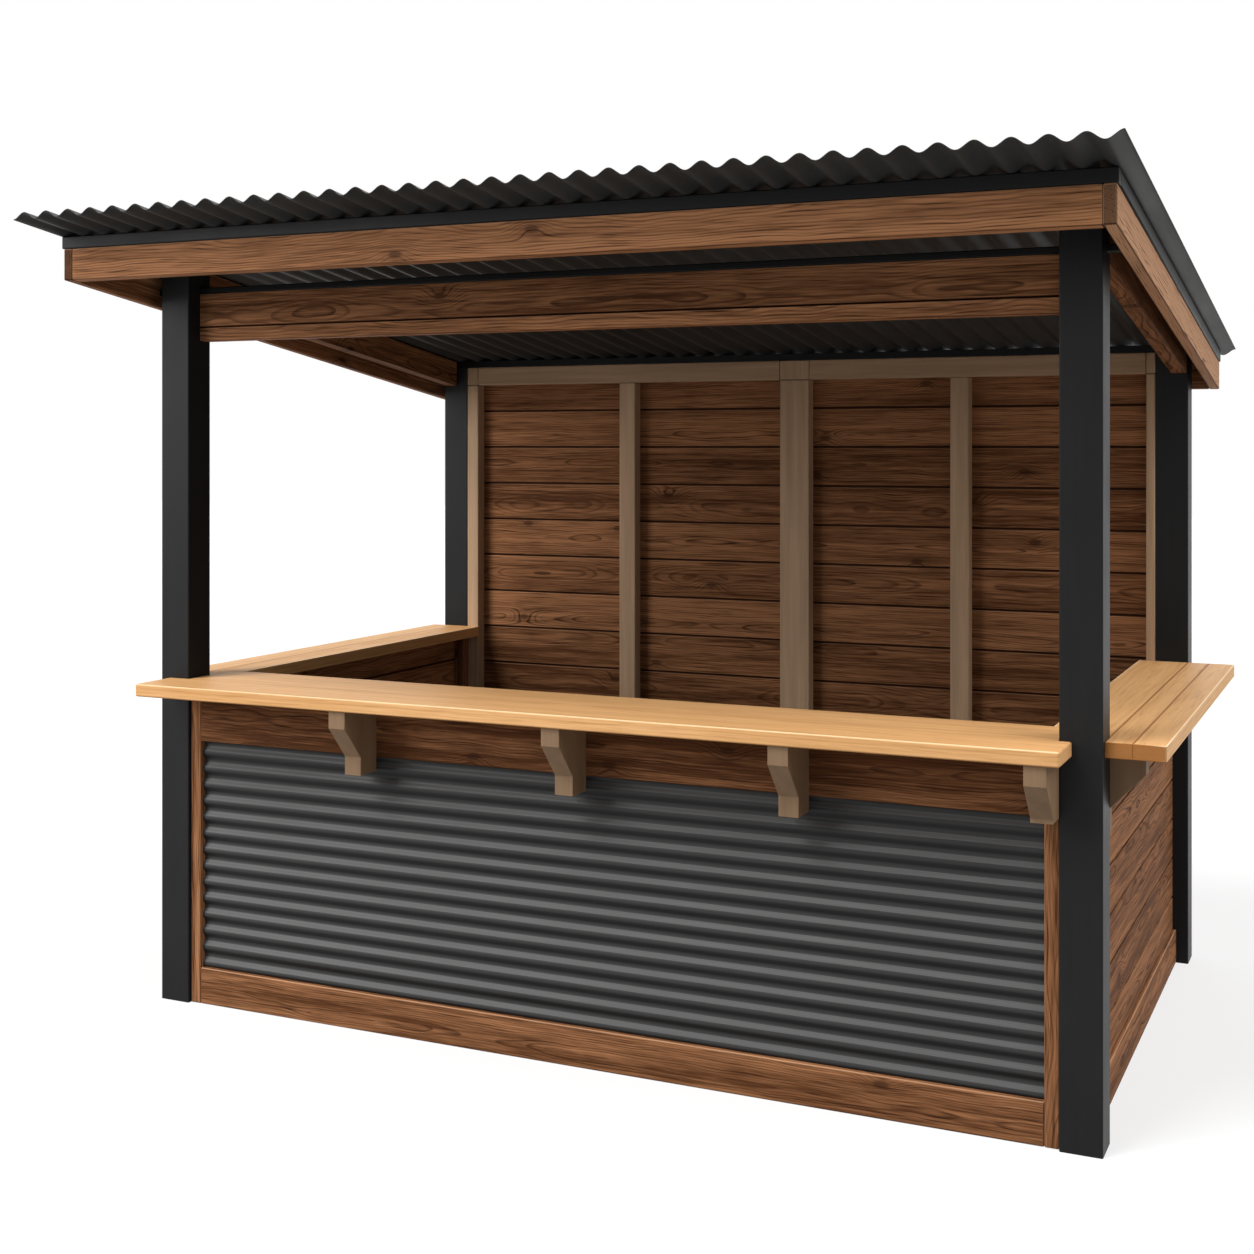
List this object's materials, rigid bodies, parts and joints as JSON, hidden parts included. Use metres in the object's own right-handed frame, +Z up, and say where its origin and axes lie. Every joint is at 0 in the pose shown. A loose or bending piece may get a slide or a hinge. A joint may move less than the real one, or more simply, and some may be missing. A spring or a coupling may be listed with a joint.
{
  "type": "wooden market stall",
  "caption": "Open-fronted timber serving stall with black posts, a corrugated lean-to roof, half walls, a corrugated counter front and oak serving counters.",
  "frame": {"origin": "on the ground, below the middle of the plan: halfway from the roof sheet's left edge to the right counter's outer edge, and halfway along the roof sheet", "axes": "+X to the right seen from the serving front, +Y to the back wall, +Z up"},
  "size_m": [3.245, 2.562, 2.5014],
  "materials": {
    "black_post": "satin charcoal paint",
    "black_trim": "satin black",
    "roof_sheet": "satin black",
    "panel_sheet": "satin grey",
    "oak_counter": "oiled",
    "taupe_timber": "matt taupe paint",
    "brown_timber": "walnut stain"
  },
  "bodies": {
    "root": {"back_boards": "brown_timber", "back_centre_stud": "taupe_timber", "back_left_corner_stud": "taupe_timber", "back_left_middle_stud": "taupe_timber", "back_left_top_plate": "taupe_timber", "back_plate_blocks": "taupe_timber", "back_right_corner_stud": "taupe_timber", "back_right_middle_stud": "taupe_timber", "back_right_top_plate": "taupe_timber", "back_sole_plate": "taupe_timber", "front_bottom_rail": "brown_timber", "front_bracket_1": "taupe_timber", "front_bracket_2": "taupe_timber", "front_bracket_3": "taupe_timber", "front_bracket_4": "taupe_timber", "front_corrugated_panel": "panel_sheet", "front_counter": "oak_counter", "front_fascia": "brown_timber", "front_left_post": "black_post", "front_left_stile": "brown_timber", "front_right_post": "black_post", "front_right_stile": "brown_timber", "front_roof_trim": "black_trim", "front_top_rail": "brown_timber", "header_beam": "brown_timber", "header_cap_strip": "black_trim", "left_counter": "oak_counter", "left_kick_board": "brown_timber", "left_rake_board": "brown_timber", "left_roof_trim": "black_trim", "left_side_beam": "brown_timber", "left_side_boards": "brown_timber", "left_side_bracket": "taupe_timber", "left_wall_batten": "brown_timber", "rear_fascia": "brown_timber", "rear_left_post": "black_post", "rear_purlin": "black_trim", "rear_right_post": "black_post", "rear_roof_trim": "black_trim", "right_counter": "oak_counter", "right_kick_board": "brown_timber", "right_rake_board": "brown_timber", "right_roof_trim": "black_trim", "right_side_beam": "brown_timber", "right_side_boards": "brown_timber", "right_side_bracket": "taupe_timber", "right_wall_batten": "brown_timber", "roof_sheet": "roof_sheet"}
  },
  "joints": []
}
